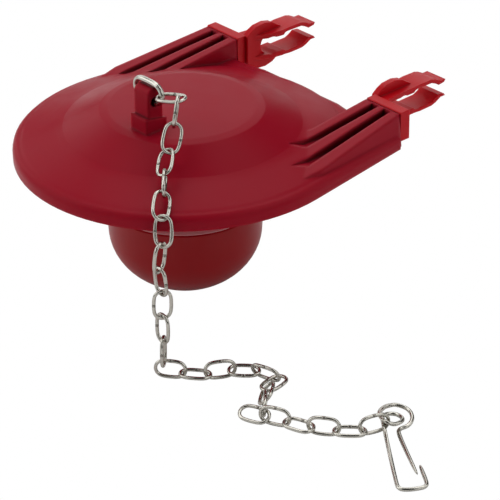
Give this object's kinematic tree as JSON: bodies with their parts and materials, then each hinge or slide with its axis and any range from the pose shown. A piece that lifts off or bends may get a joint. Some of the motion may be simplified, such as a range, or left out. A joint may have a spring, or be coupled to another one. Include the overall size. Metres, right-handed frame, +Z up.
{
  "type": "toilet flapper",
  "caption": "Round rubber toilet flapper with a float bowl under it, two ribbed arms with plastic peg clips, and a steel lift chain with a ring and a wire hook.",
  "frame": {"origin": "midway between the two peg sockets, on the hinge axis", "axes": "+X along the hinge axis to the right clip, +Y back from the disc past the clips, +Z up out of the disc's flat face"},
  "size_m": [0.1826, 0.132, 0.0775],
  "materials": {
    "rubber": "satin",
    "bowl_plastic": "smooth, a little translucent",
    "clip_plastic": "smooth",
    "steel_wire": "bright drawn wire"
  },
  "bodies": {
    "root": {"flapper_body": "rubber", "float_bowl": "bowl_plastic", "peg_clip_right": "clip_plastic", "peg_clip_left": "clip_plastic", "lug_ring": "steel_wire", "chain_hook": "steel_wire", "chain_link_01": "steel_wire", "chain_link_02": "steel_wire", "chain_link_03": "steel_wire", "chain_link_04": "steel_wire", "chain_link_05": "steel_wire", "chain_link_06": "steel_wire", "chain_link_07": "steel_wire", "chain_link_08": "steel_wire", "chain_link_09": "steel_wire", "chain_link_10": "steel_wire", "chain_link_11": "steel_wire", "chain_link_12": "steel_wire", "chain_link_13": "steel_wire", "chain_link_14": "steel_wire", "chain_link_15": "steel_wire", "chain_link_16": "steel_wire", "chain_link_17": "steel_wire", "chain_link_18": "steel_wire", "chain_link_19": "steel_wire", "chain_link_20": "steel_wire", "chain_link_21": "steel_wire", "chain_link_22": "steel_wire", "chain_link_23": "steel_wire", "chain_link_24": "steel_wire", "chain_link_25": "steel_wire", "chain_link_26": "steel_wire"}
  },
  "joints": []
}
